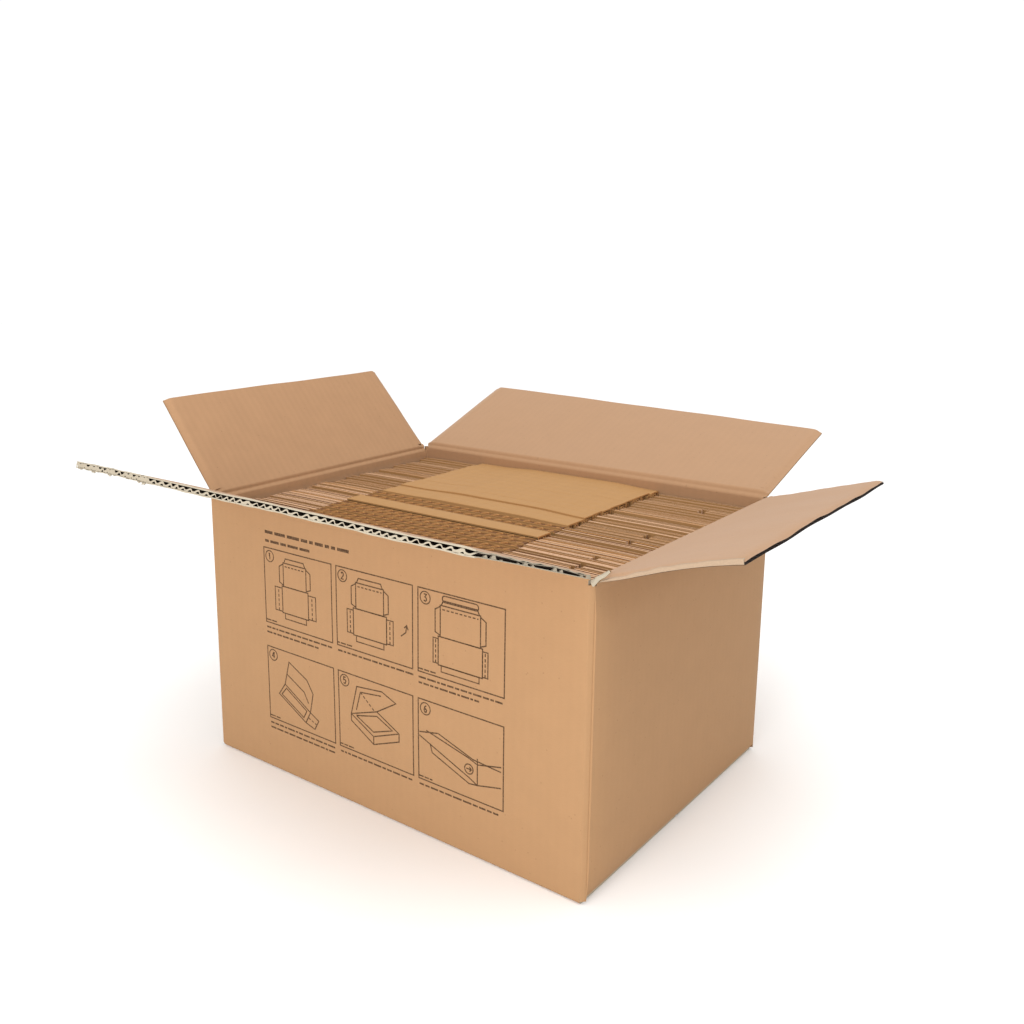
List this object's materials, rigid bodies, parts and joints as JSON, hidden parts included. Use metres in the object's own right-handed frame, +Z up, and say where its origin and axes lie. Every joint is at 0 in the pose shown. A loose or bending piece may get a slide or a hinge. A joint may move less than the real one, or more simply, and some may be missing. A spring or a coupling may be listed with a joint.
{
  "type": "corrugated shipping box",
  "caption": "Open slotted corrugated carton with fluted top flaps on creases, filled with a standing pack of folded mailer blanks.",
  "frame": {"origin": "middle of the carton's base, on the surface that it stands on; the base mount's point is 2.5 mm in front of it, because the seam of the bottom flaps runs through the middle", "axes": "+X along the long walls to the right, +Y from the printed front wall to the back wall, +Z up"},
  "size_m": [0.5735, 0.5712, 0.3257],
  "materials": {
    "carton_board": "kraft liner, flat, with a dark brown line print on the front wall",
    "flap_board": "kraft liner on both faces, flute openings along the cut edge",
    "mailer_board": "brown kraft liner, folded and die cut"
  },
  "bodies": {
    "carton": {"carton": "carton_board", "mailer_01": "mailer_board", "mailer_02": "mailer_board", "mailer_03": "mailer_board", "mailer_04": "mailer_board", "mailer_05": "mailer_board", "mailer_06": "mailer_board", "mailer_07": "mailer_board", "mailer_08": "mailer_board", "mailer_09": "mailer_board", "mailer_10": "mailer_board", "mailer_11": "mailer_board", "mailer_12": "mailer_board", "mailer_13": "mailer_board", "mailer_14": "mailer_board", "mailer_15": "mailer_board", "mailer_16": "mailer_board", "mailer_17": "mailer_board"},
    "front_flap": {"flap_front": "flap_board"},
    "right_flap": {"flap_right": "flap_board"},
    "back_flap": {"flap_back": "flap_board"},
    "left_flap": {"flap_left": "flap_board"}
  },
  "joints": [
    {"name": "front_crease", "type": "hinge", "parent": "carton", "child": "front_flap", "pos_m": [0, -0.1525, 0.244], "axis": [1, 0, 0], "range_deg": [-159, 100]},
    {"name": "right_crease", "type": "hinge", "parent": "carton", "child": "right_flap", "pos_m": [0.2, 0, 0.2395], "axis": [0, 1, 0], "range_deg": [-161.5, 98.5]},
    {"name": "back_crease", "type": "hinge", "parent": "carton", "child": "back_flap", "pos_m": [0, 0.1525, 0.244], "axis": [-1, 0, 0], "range_deg": [-157.8, 96]},
    {"name": "left_crease", "type": "hinge", "parent": "carton", "child": "left_flap", "pos_m": [-0.2, 0, 0.2395], "axis": [0, -1, 0], "range_deg": [-130, 130]}
  ]
}
